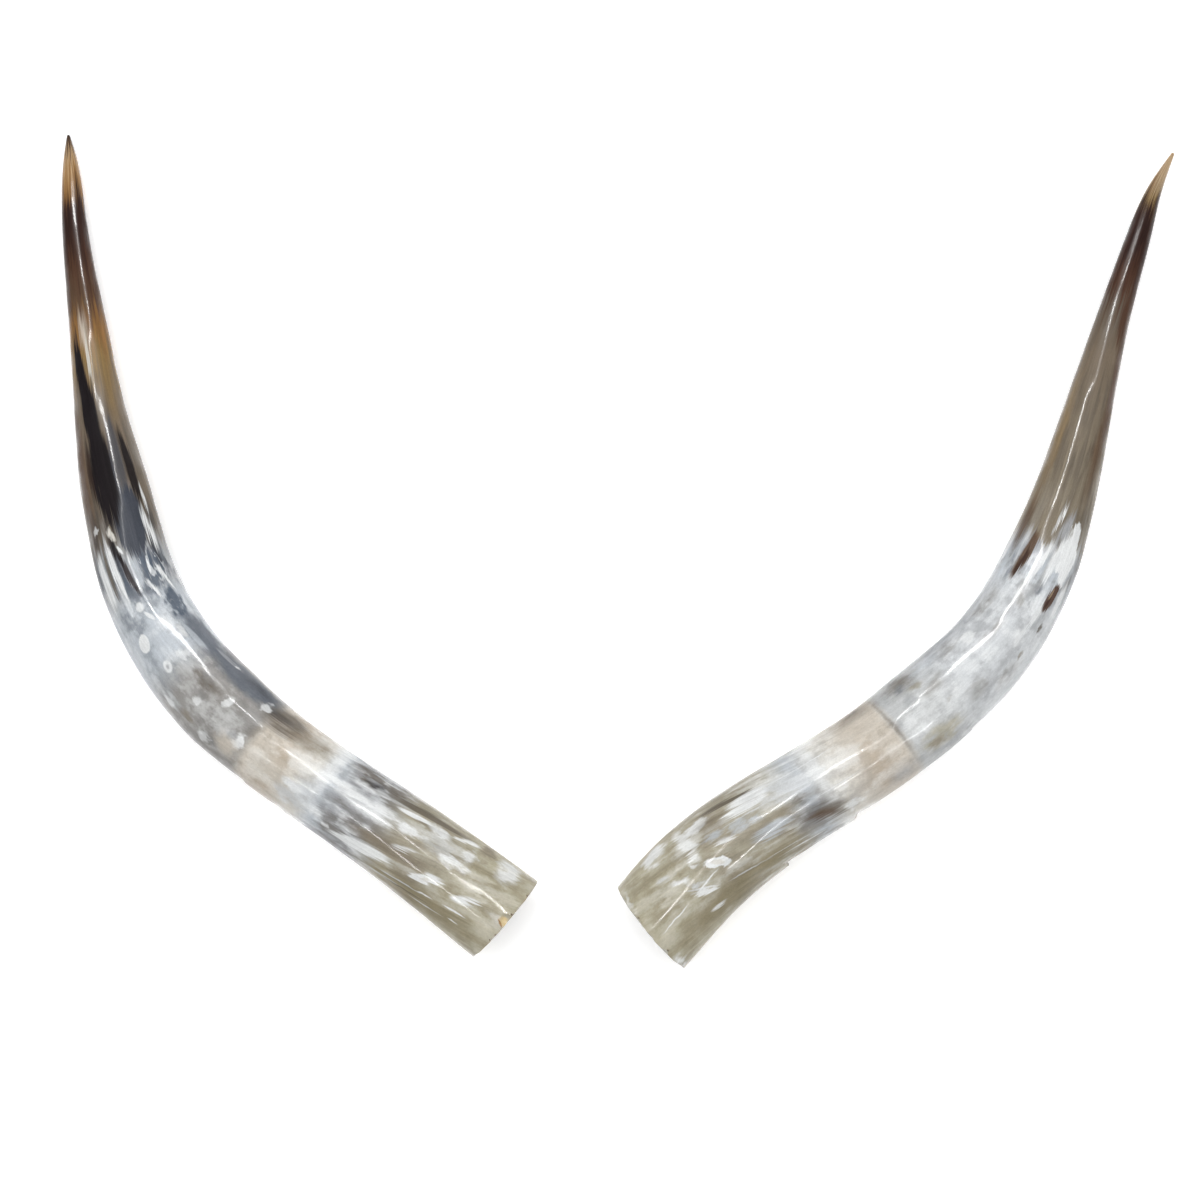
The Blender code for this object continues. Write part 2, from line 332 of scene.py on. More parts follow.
    def hollow(self, s, angle, taper):
        """Points on the hollow's wall, which closes as taper falls to 0."""
        centre, _, inward, up = self.frame(s)
        corner = EDGE_ROUNDING * smooth(1 - s / EDGE_ROUNDING)
        radius = (self.radius(s) - WALL_AT_SAW) * taper + corner
        tall = (self.radius(s) * self.flatness(s) - WALL_AT_SAW) * taper + corner
        wide = inward * (HOLLOW_SHIFT + radius * np.sin(angle))[:, None]
        return self.on_saw_plane(centre + wide + up * (tall * np.cos(angle))[:, None], s)

    def ring_places(self):
        """Where the straight tube's rings lie: even steps, closer at the mouth, lips and point."""
        at_lips = [ledge[0] + step for ledge in self.ledges for step in LIP_RINGS]
        count = round((self.length - EVEN_FROM) / STEP)
        even = [EVEN_FROM + (self.length - EVEN_SHORTFALL) * i / count for i in range(count + 1)]
        even = [s for s in even if all(abs(s - lip) > CROWDED * STEP for lip in at_lips)]
        return sorted(MOUTH_RINGS + even + at_lips + [self.length - left for left in POINT_RINGS])


def choose(obj, keep):
    """Selects the vertices of obj that keep says, in edit mode."""
    bpy.ops.object.mode_set(mode="EDIT")
    bpy.ops.mesh.select_mode(type="VERT")
    bpy.ops.mesh.select_all(action="DESELECT")
    bpy.ops.object.mode_set(mode="OBJECT")
    for vertex in obj.data.vertices:
        vertex.select = bool(keep(vertex.co))
    bpy.ops.object.mode_set(mode="EDIT")


def pull(z_step, about, share=1.0):
    """Extrudes the selected ring along the tube and scales it about the tube's middle."""
    bpy.ops.mesh.extrude_region_move(TRANSFORM_OT_translate={"value": (0, 0, z_step)})
    if share != 1.0:
        bpy.ops.transform.resize(value=(share, share, 1), center_override=(0, 0, about))


def straight_horn(name, horn):
    """A straight tube of one girth, closed at the point, with its rim and hollow."""
    bpy.ops.object.select_all(action="DESELECT")
    bpy.ops.mesh.primitive_circle_add(vertices=SIDES, radius=TUBE_RADIUS, fill_type="NOTHING")
    tube = bpy.context.object
    tube.name = name
    tube.data.name = name
    places = horn.ring_places()
    bpy.ops.object.mode_set(mode="EDIT")
    bpy.ops.mesh.select_all(action="SELECT")
    for here, there in zip(places, places[1:]):
        pull(there - here, there)
    pull(horn.length - places[-1], horn.length)
    bpy.ops.mesh.merge(type="CENTER")
    bpy.ops.object.mode_set(mode="OBJECT")
    outside = len(tube.data.polygons)

    choose(tube, lambda co: co.z < AT_SAW)
    pull(0.0, 0.0, HOLLOW_RATIO)
    bpy.ops.object.mode_set(mode="OBJECT")
    rim = len(tube.data.polygons)
    bpy.ops.object.mode_set(mode="EDIT")
    depth, last = 0.0, 1.0
    for i in range(1, HOLLOW_RINGS):
        there = horn.hollow_depth * sin(0.5 * pi * i / HOLLOW_RINGS)
        taper = (1 - (there / horn.hollow_depth) ** 2) ** HOLLOW_BLUNTNESS
        pull(there - depth, there, taper / last)
        depth, last = there, taper
    pull(horn.hollow_depth - depth, horn.hollow_depth)
    bpy.ops.mesh.merge(type="CENTER")
    bpy.ops.object.mode_set(mode="OBJECT")
    for face in tube.data.polygons:
        face.material_index = OUTSIDE if face.index < outside else RIM if face.index < rim else HOLLOW
    bpy.ops.object.mode_set(mode="EDIT")
    bpy.ops.mesh.select_all(action="SELECT")
    bpy.ops.mesh.normals_make_consistent(inside=False)
    bpy.ops.mesh.subdivide(number_cuts=CUTS)
    bpy.ops.object.mode_set(mode="OBJECT")
    return tube


def lowest_slots(mesh):
    """The lowest material slot of the faces round each vertex."""
    corners = np.empty(len(mesh.loops), int)
    mesh.loops.foreach_get("vertex_index", corners)
    sizes = np.empty(len(mesh.polygons), int)
    mesh.polygons.foreach_get("loop_total", sizes)
    slots = np.empty(len(mesh.polygons), int)
    mesh.polygons.foreach_get("material_index", slots)
    lowest = np.full(len(mesh.vertices), HOLLOW)
    np.minimum.at(lowest, corners, np.repeat(slots, sizes))
    return lowest


def chip_rim(horn, placed, chippable):
    """Sinks a shallow round chip into the top of the rim."""
    _, ahead, inward, up = (axis[0] for axis in horn.frame(np.zeros(1)))
    crest = horn.outer(np.zeros(1), np.zeros(1))[0]
    away = placed - crest
    across = away @ inward / (0.5 * CHIP_WIDTH)
    along = away @ ahead / CHIP_REACH
    left_over = np.clip(1 - across**2 - along**2, 0, None)
    height = away @ up
    sunk = np.minimum(height, -CHIP_DEPTH * np.sqrt(left_over))
    touched = (left_over > 0) & (height > -CHIP_DEPTH) & chippable
    placed[touched] += up * (sunk - height)[touched, None]


def note_places(mesh, s, angle, spread):
    """Keeps where each vertex lies on the straight tube, along growth and along the fibres."""
    drift = FIBRE_DRIFT * (1 - np.exp(-s / DRIFT_RUN))
    for key, turn in (("grown", angle), ("fibre", angle + drift)):
        values = np.column_stack([spread * np.sin(turn), spread * np.cos(turn), s])
        attribute = mesh.attributes.new(key, "FLOAT_VECTOR", "POINT")
        attribute.data.foreach_set("vector", values.ravel())


def bend(tube, horn, chipped):
    """Bends the straight tube to the horn's route, width and relief."""
    mesh = tube.data
    count = len(mesh.vertices)
    flat = np.empty(count * 3)
    mesh.vertices.foreach_get("co", flat)
    x, y, s = flat.reshape(-1, 3).T
    angle = np.arctan2(x, y)
    sector = 2 * pi / SIDES
    chord = cos(sector / 2) / np.cos(angle % sector - sector / 2)
    share = np.hypot(x, y) / (TUBE_RADIUS * chord)
    slots = lowest_slots(mesh)
    outside, rim, inside = slots == OUTSIDE, slots == RIM, slots == HOLLOW

    placed = np.zeros((count, 3))
    s_out = horn.slide_to_lips(s[outside], angle[outside])
    s_out -= POINT_TRIM * smooth(1 - (horn.length - s_out) / POINT_TRIM_RUN)
    past_rings = s[outside] > horn.length - POINT_RINGS[-1]
    cap = np.where(past_rings, np.minimum(share[outside], 1.0), 1.0)
    placed[outside] = horn.outer(s_out, angle[outside], cap)
    across = ((1 - share[rim]) / (1 - HOLLOW_RATIO))[:, None]
    edge = horn.outer(np.zeros(rim.sum()), angle[rim])
    wall = horn.hollow(np.zeros(rim.sum()), angle[rim], 1.0)
    placed[rim] = edge * (1 - across) + wall * across
    placed[inside] = horn.hollow(s[inside], angle[inside], share[inside] / HOLLOW_RATIO)
    if chipped:
        chip_rim(horn, placed, ~inside)
    placed[:, 2] -= placed[:, 2].min()
    mesh.vertices.foreach_set("co", placed.ravel())
    note_places(mesh, s, angle, np.minimum(share, 1.0) * TUBE_RADIUS)

    bpy.ops.object.select_all(action="DESELECT")
    tube.select_set(True)
    bpy.context.view_layer.objects.active = tube
    bpy.ops.object.mode_set(mode="EDIT")
    bpy.ops.mesh.select_all(action="SELECT")
    bpy.ops.mesh.normals_make_consistent(inside=False)
    bpy.ops.object.mode_set(mode="OBJECT")
    bpy.ops.object.shade_smooth_by_angle(angle=SMOOTH_ANGLE)
    return tube


class Wire:
    """One output of a node. Sums on it add Math nodes."""

    def __init__(self, finish, socket):
        self.finish = finish
        self.socket = socket

    def maths(self, operation, *others):
        sockets = {i: other for i, other in enumerate((self, *others))}
        return self.finish.add("ShaderNodeMath", {"operation": operation}, sockets)

    def __add__(self, other):
        return self.maths("ADD", other)

    def __sub__(self, other):
        return self.maths("SUBTRACT", other)

    def __rsub__(self, other):
        return self.finish.add("ShaderNodeMath", {"operation": "SUBTRACT"}, {0: other, 1: self})

    def __mul__(self, other):
        return self.maths("MULTIPLY", other)

    def __truediv__(self, other):
        return self.maths("DIVIDE", other)

    __radd__ = __add__
    __rmul__ = __mul__


class Finish:
    """A material and the one way of adding a node to it."""

    def __init__(self, name):
        self.material = bpy.data.materials.new(name)
        self.material.use_nodes = True
        self.tree = self.material.node_tree
        self.shader = self.tree.nodes["Principled BSDF"]

    def add(self, kind, settings=None, sockets=None, out=0):
        """Adds a node, sets it up, feeds its sockets and gives one of its outputs."""
        node = self.tree.nodes.new(kind)
        for key, value in (settings or {}).items():
            if key == "stops":
                self.set_stops(node.color_ramp, value)
            else:
                setattr(node, key, value)
        for key, value in (sockets or {}).items():
            self.feed(node.inputs[key], value)
        return Wire(self, node.outputs[out])

    def feed(self, socket, value):
        if isinstance(value, Wire):
            self.tree.links.new(value.socket, socket)
        else:
            socket.default_value = value

    def set_stops(self, ramp, stops):
        while len(ramp.elements) > 1:
            ramp.elements.remove(ramp.elements[-1])
        ramp.elements[0].position, ramp.elements[0].color = stops[0]
        for place, colour in stops[1:]:
            ramp.elements.new(place).color = colour

    def attribute(self, name):
        return self.add("ShaderNodeAttribute", {"attribute_name": name}, out="Vector")

    def vector(self, operation, *values):
        sockets = {i: value for i, value in enumerate(values)}
        return self.add("ShaderNodeVectorMath", {"operation": operation}, sockets)

    def noise(self, vector, weave, out="Fac"):
        """A noise whose blotches reach across metres round the horn and along metres on it."""
        across, along, detail, roughness = weave
        shrunk = self.vector("MULTIPLY", vector, (1 / across, 1 / across, 1 / along))
        sockets = {"Vector": shrunk, "Scale": 1.0, "Detail": detail, "Roughness": roughness}
        return self.add("ShaderNodeTexNoise", {}, sockets, out=out)

    def mix(self, share, below, above, blend="MIX"):
        settings = {"data_type": "RGBA", "blend_type": blend}
        return self.add("ShaderNodeMix", settings, {0: share, 6: below, 7: above}, out=2)

    def range(self, value, low, high, to_low=0.0, to_high=1.0, kind="SMOOTHSTEP"):
        """Maps a value from one span to another, easing at both ends."""
        sockets = {"Value": value, "From Min": low, "From Max": high, "To Min": to_low,
                   "To Max": to_high}
        return self.add("ShaderNodeMapRange", {"interpolation_type": kind}, sockets)

    def line(self, value, low, high, to_low, to_high):
        """Maps a value from one span to another in a straight line."""
        return self.range(value, low, high, to_low, to_high, "LINEAR")

    def bump(self, strength, distance, height):
        sockets = {"Strength": strength, "Distance": distance, "Height": height}
        return self.add("ShaderNodeBump", {}, sockets)

    def set(self, **values):
        """Feeds the shader's own sockets."""
        for key, value in values.items():
            self.feed(self.shader.inputs[key.replace("_", " ")], value)


def tone(red, green, blue):
    """A colour given as it looks on a screen, 0 to 255."""
    def linear(value):
        value /= 255
        return value / 12.92 if value <= 0.04045 else ((value + 0.055) / 1.055) ** 2.4
    return (linear(red), linear(green), linear(blue), 1.0)


# Natural colours of the horn; MILK and PEARL also paint some thin lines of highlight among the marks
MILK = tone(230, 232, 232)
PEARL = tone(203, 206, 208)
MARBLE = tone(186, 192, 198)
ASH = tone(160, 162, 165)
SLATE = tone(104, 109, 117)
BLUE = tone(84, 93, 106)
CHARCOAL = tone(52, 52, 57)
BLACK = tone(33, 29, 31)
STRAW = tone(177, 171, 150)
OLIVE = tone(162, 156, 138)
MOSS = tone(138, 129, 105)
TAUPE = tone(128, 118, 102)
SMOKE = tone(100, 92, 82)
CREAM = tone(212, 209, 201)
BEIGE = tone(199, 191, 179)
BROWN = tone(92, 72, 56)
UMBER = tone(80, 55, 42)
PLUM = tone(58, 40, 35)
DUSK = tone(42, 29, 27)
OCHRE = tone(136, 112, 74)
HONEY = tone(216, 194, 146)
FOG = tone(150, 148, 145)
STORM = tone(66, 70, 79)
MIST = tone(188, 190, 190)
EARTH = tone(116, 103, 88)
GOLD = tone(142, 104, 62)
AMBER = tone(170, 134, 92)
SAND = tone(168, 148, 122)
TAN = tone(190, 162, 126)

# Along each horn: mm from the sawn end, tone, its dark drifts, share of white, share of dark,
# and how streaky rather than cloudy the mottling is
LEFT_GROUND = [
    (0, STRAW, MOSS, 0.10, 0.50, 0.5), (45, STRAW, MOSS, 0.20, 0.70, 0.5),
    (75, OLIVE, TAUPE, 0.25, 0.70, 0.6), (115, OLIVE, TAUPE, 0.35, 0.60, 0.7),
    (145, ASH, SMOKE, 0.80, 0.60, 0.7), (175, ASH, SMOKE, 0.80, 0.60, 0.6),
    (192, MARBLE, ASH, 0.80, 0.40, 0.5), (206, CREAM, TAUPE, 0.40, 0.30, 0.2),
    (238, BEIGE, SAND, 0.25, 0.50, 0.2), (264, BEIGE, TAUPE, 0.20, 0.50, 0.2),
    (273, FOG, SMOKE, 0.35, 0.30, 0.2), (345, FOG, SLATE, 0.35, 0.30, 0.2),
    (375, MARBLE, SLATE, 0.30, 0.40, 0.2), (430, MARBLE, SLATE, 0.40, 0.60, 0.3),
    (452, ASH, BLUE, 0.50, 0.90, 0.6), (478, SLATE, CHARCOAL, 0.40, 0.80, 0.8),
    (500, SMOKE, CHARCOAL, 0.20, 0.60, 1.0), (560, EARTH, SMOKE, 0.05, 0.60, 1.0),
    (640, EARTH, SMOKE, 0.0, 0.50, 1.0), (685, OCHRE, BROWN, 0.0, 0.50, 1.0),
    (715, GOLD, BROWN, 0.0, 0.60, 1.0), (742, BROWN, UMBER, 0.0, 0.70, 1.0),
    (785, UMBER, PLUM, 0.0, 0.70, 1.0), (820, PLUM, DUSK, 0.0, 0.60, 1.0),
    (852, PLUM, DUSK, 0.0, 0.60, 1.0), (866, GOLD, BROWN, 0.0, 0.80, 1.0),
    (890, AMBER, GOLD, 0.0, 0.80, 1.0), (906, TAN, AMBER, 0.0, 0.40, 1.0),
    (918, BROWN, UMBER, 0.0, 0.40, 1.0), (932, PLUM, DUSK, 0.0, 0.40, 1.0),
]
RIGHT_GROUND = [
    (0, STRAW, MOSS, 0.10, 0.50, 0.5), (45, STRAW, MOSS, 0.25, 0.60, 0.5),
    (80, OLIVE, TAUPE, 0.45, 0.60, 0.6), (108, OLIVE, TAUPE, 0.50, 0.60, 0.7),
    (150, OLIVE, TAUPE, 0.60, 0.60, 0.7), (176, MARBLE, TAUPE, 0.70, 0.55, 0.6),
    (202, CREAM, ASH, 0.50, 0.40, 0.2), (240, BEIGE, SAND, 0.20, 0.40, 0.2),
    (266, BEIGE, TAUPE, 0.15, 0.40, 0.2), (275, MIST, ASH, 0.40, 0.55, 0.2),
    (305, MIST, ASH, 0.40, 0.55, 0.2), (345, PEARL, ASH, 0.40, 0.50, 0.1),
    (430, PEARL, ASH, 0.50, 0.60, 0.2), (465, MARBLE, SMOKE, 0.65, 0.60, 0.5),
    (490, ASH, SMOKE, 0.50, 0.60, 0.8), (506, TAUPE, SMOKE, 0.10, 0.60, 1.0),
    (560, TAUPE, SMOKE, 0.0, 0.60, 1.0), (690, EARTH, SMOKE, 0.0, 0.60, 1.0),
    (728, SMOKE, BROWN, 0.0, 0.60, 1.0), (755, UMBER, PLUM, 0.0, 0.60, 1.0),
    (800, PLUM, DUSK, 0.0, 0.60, 1.0), (846, PLUM, DUSK, 0.0, 0.60, 1.0),
    (858, OCHRE, BROWN, 0.0, 0.70, 1.0), (880, SAND, GOLD, 0.0, 0.60, 1.0),
    (912, TAN, SAND, 0.0, 0.40, 1.0),
]

# A mark: colour, distance from the sawn end and its half length in mm, angle round the horn and
# its half arc in degrees, tilt in degrees, softness of its edge, strength, and kind of edge
LEFT_MARKS = [
    (MOSS, 60, 80, -48, 30, -4, 0.8, 0.9, "soft"),
    (CREAM, 8, 17, -5, 13, 0, 0.9, 0.75, "cloud"),
    (HONEY, 3, 7, -1, 7, 25, 0.6, 0.9, "plain"),
    (AMBER, 4.5, 5, -5, 1.6, 30, 0.5, 0.9, "plain"),
    (UMBER, 0.6, 1.6, 42, 1.8, 0, 0.6, 0.8, "plain"),
    (UMBER, 1.0, 1.8, 11, 1.6, 0, 0.6, 0.8, "plain"),
    (UMBER, 0.6, 1.6, -19, 2.0, 0, 0.6, 0.8, "plain"),
    (UMBER, 0.8, 1.6, -29, 1.6, 0, 0.6, 0.7, "plain"),
    (TAUPE, 118, 55, -15, 12, -6, 0.6, 0.85, "streak"),
    (MILK, 24, 16, 60, 38, 0, 0.7, 0.8, "cloud"),
    (TAUPE, 47, 9, 64, 34, 0, 0.7, 0.7, "cloud"),
    (PEARL, 80, 34, 26, 26, -4, 0.8, 0.45, "cloud"),
    (MILK, 56, 9, 34, 34, -6, 0.7, 0.75, "cloud"),
    (MILK, 90, 20, 40, 13, -6, 0.6, 0.8, "cloud"),
    (MILK, 63, 20, 17, 10, -10, 0.6, 0.7, "cloud"),
    (MILK, 112, 26, 18, 10, -6, 0.6, 0.75, "cloud"),
    (MILK, 104, 16, -4, 5, -20, 0.6, 0.7, "feather"),
    (SMOKE, 105, 56, 54, 8, -9, 0.6, 0.85, "streak"),
    (MILK, 68, 16, 56, 5, -25, 0.5, 0.8, "feather"),
    (MILK, 138, 54, 15, 18, -6, 0.8, 0.75, "cloud"),
    # Painted highlight: this thin white line is a line of gloss painted into the colour, not a mark of
    # the horn
    (MILK, 112, 20, 40, 6, -8, 0.4, 0.95, "streak"),
    (SMOKE, 156, 44, 56, 28, 0, 0.8, 0.85, "cloud"),
    (CHARCOAL, 158, 13, 45, 5, 0, 0.8, 0.45, "cloud"),
    (MILK, 140, 42, -37, 9, -12, 0.35, 0.85, "streak"),
    (MARBLE, 206, 22, -20, 34, 0, 1.1, 0.7, "soft"),
    (CHARCOAL, 154, 20, 46, 16, 0, 1.0, 0.6, "soft"),
    (MILK, 36, 17, -9, 7, -24, 0.4, 0.9, "feather"),
    (MILK, 74, 20, -17, 7.5, -26, 0.4, 0.9, "feather"),
    (CREAM, 74, 6, -19, 3, -26, 0.6, 0.7, "plain"),
    (MILK, 39, 14, -28, 1.7, -8, 0.5, 0.9, "plain"),
    (MILK, 67, 10, -36, 1.6, -12, 0.5, 0.8, "plain"),
    (MILK, 35, 7, -41, 1.3, -8, 0.5, 0.7, "plain"),
    (MOSS, 46, 34, -35, 3, -9, 0.5, 0.8, "streak"),
    (PEARL, 92, 30, -43, 1.5, -9, 0.6, 0.8, "plain"),
    (PEARL, 62, 24, -50, 1.2, -9, 0.6, 0.8, "plain"),
    (PEARL, 108, 26, -54, 1.6, -9, 0.6, 0.8, "plain"),
    (SMOKE, 84, 34, -50, 1.6, -9, 0.6, 0.7, "plain"),
    (MOSS, 90, 44, -47, 4, -9, 0.5, 0.8, "streak"),
    (MILK, 173, 6, -42, 6, 0, 0.5, 0.6, "cloud"),
    (MILK, 196, 10, 30, 75, 0, 0.8, 0.65, "soft"),
    (PEARL, 214, 24, -36, 28, 0, 0.7, 0.7, "cloud"),
    (MILK, 214, 16, -22, 12, 0, 0.7, 0.6, "cloud"),
    (CREAM, 244, 32, -25, 34, 0, 0.8, 0.5, "soft"),
    (TAUPE, 226, 34, 42, 26, -6, 0.8, 0.6, "soft"),
    (SMOKE, 256, 34, 46, 32, -8, 0.7, 0.85, "streak"),
    (CHARCOAL, 262, 22, 46, 10, -8, 0.8, 0.45, "streak"),
    (SLATE, 312, 58, 56, 30, -2, 0.5, 0.95, "soft"),
    (CHARCOAL, 300, 40, 60, 16, 0, 1.0, 0.5, "soft"),
    (SLATE, 374, 52, 54, 27, -2, 0.6, 0.95, "soft"),
    (MARBLE, 378, 26, 40, 7, -8, 0.6, 0.7, "feather"),
    (ASH, 338, 24, 60, 5, -6, 0.6, 0.6, "feather"),
    (BLUE, 420, 28, 46, 20, 0, 0.5, 0.9, "cloud"),
    (SMOKE, 335, 24, 11, 10, 0, 0.7, 0.7, "cloud"),
    (MILK, 279, 6, 46, 14, 10, 0.6, 0.7, "cloud"),
    (MILK, 276, 8, -18, 15, 0, 0.5, 0.75, "soft"),
    (ASH, 284, 6, -16, 9, 0, 0.7, 0.5, "soft"),
    (SLATE, 292, 12, -44, 12, 0, 0.8, 0.35, "cloud"),
    (SMOKE, 322, 36, 12, 22, 0, 0.9, 0.45, "soft"),
    (PEARL, 346, 20, -42, 12, 0, 0.8, 0.7, "cloud"),
    (MILK, 307, 5, 12, 18, 0, 0.6, 0.6, "cloud"),
    (BEIGE, 284, 20, -34, 24, 0, 0.9, 0.8, "soft"),
    (FOG, 352, 18, -2, 14, 0, 1.1, 0.5, "cloud"),
    (MARBLE, 384, 16, 4, 16, 0, 1.1, 0.5, "soft"),
    (MILK, 402, 16, 18, 12, -6, 0.9, 0.7, "feather"),
    (MILK, 384, 9, 30, 6, -20, 0.8, 0.6, "plain"),
    (MILK, 305, 9, -46, 11, 0, 0.5, 0.55, "cloud"),
    (TAUPE, 326, 12, -40, 9, 0, 0.7, 0.5, "cloud"),
    (MILK, 366, 8, 14, 15, 0, 0.6, 0.6, "cloud"),
    (MILK, 366, 7.5, -14, 8, 10, 0.35, 0.8, "plain"),
    (ASH, 366, 3.4, -14, 4, 10, 0.8, 0.8, "plain"),
    (MILK, 397, 10.5, -24, 10.5, 20, 0.22, 0.95, "plain"),
    (MILK, 327, 7, -14, 11, 0, 0.7, 0.6, "cloud"),
    (MILK, 345, 8, -46, 9, 0, 0.8, 0.6, "cloud"),
    (MILK, 416, 9, 3, 4, -24, 0.4, 0.8, "plain"),
    (MILK, 428, 6.5, -3, 9, -14, 0.5, 0.8, "plain"),
    (MILK, 392, 14, 30, 7, -12, 0.7, 0.6, "cloud"),
    (MILK, 329, 5, 60, 3, 0, 0.6, 0.6, "cloud"),
    (BLUE, 456, 40, 34, 34, 0, 0.6, 0.85, "cloud"),
    (PEARL, 458, 44, 40, 32, 0, 0.9, 0.8, "lick"),
    (MILK, 450, 22, 52, 4, -18, 0.5, 0.9, "feather"),
    (MILK, 468, 20, 34, 3, 8, 0.5, 0.8, "feather"),
    (MILK, 441, 18, 28, 4, -16, 0.5, 0.8, "feather"),
    (MARBLE, 462, 24, 14, 9, 0, 0.6, 0.7, "feather"),
    (MILK, 470, 40, -17, 8, -6, 0.4, 0.9, "feather"),
    (SMOKE, 470, 36, -28, 4, -3, 0.5, 0.85, "streak"),
    (MILK, 465, 42, -42, 11, 0, 0.5, 0.85, "feather"),
    (DUSK, 464, 38, 0, 5.5, -9, 0.5, 0.85, "streak"),
    (BLACK, 490, 22, -8, 6, -14, 0.5, 0.8, "streak"),
    (STORM, 515, 40, 24, 30, 0, 0.2, 0.97, "streak"),
    (MILK, 503, 32, 53, 9, -8, 0.5, 0.95, "feather"),
    (MILK, 530, 26, 58, 4, -6, 0.5, 0.8, "feather"),
    (BLACK, 562, 64, -1, 27, 0, 0.3, 1.0, "streak"),
    (CREAM, 504, 10, -9, 6, -20, 0.7, 0.9, "cloud"),
    (TAUPE, 509, 6, -7, 3.5, -20, 0.9, 0.7, "soft"),
    (MILK, 487, 7, -1, 3, -24, 0.5, 0.9, "plain"),
    (MILK, 512, 6, -36, 9, 0, 0.5, 0.8, "cloud"),
    (BROWN, 560, 84, -44, 24, 0, 0.8, 0.85, "streak"),
    (UMBER, 600, 100, -60, 34, 0, 0.9, 0.75, "soft"),
    (DUSK, 566, 50, -25, 8, -2, 0.6, 0.8, "streak"),
    (STORM, 578, 62, 28, 16, 0, 0.6, 0.75, "streak"),
    (BLACK, 626, 54, -9, 22, -6, 0.3, 1.0, "streak"),
    (BLACK, 568, 52, 47, 12, -2, 0.4, 0.95, "streak"),
    (BLACK, 668, 54, -22, 17, -8, 0.35, 1.0, "streak"),
    (BROWN, 706, 16, -26, 6, -10, 0.6, 0.8, "streak"),
    (OCHRE, 660, 70, 45, 26, 0, 0.8, 0.6, "soft"),
    (GOLD, 712, 40, 50, 24, 0, 0.8, 0.6, "streak"),
    (CREAM, 684, 34, 4, 6, -3, 0.5, 0.8, "streak"),
    (BEIGE, 714, 32, 0, 22, -4, 0.9, 0.7, "feather"),
    (SMOKE, 740, 8, 19, 5, 0, 0.8, 0.7, "cloud"),
]

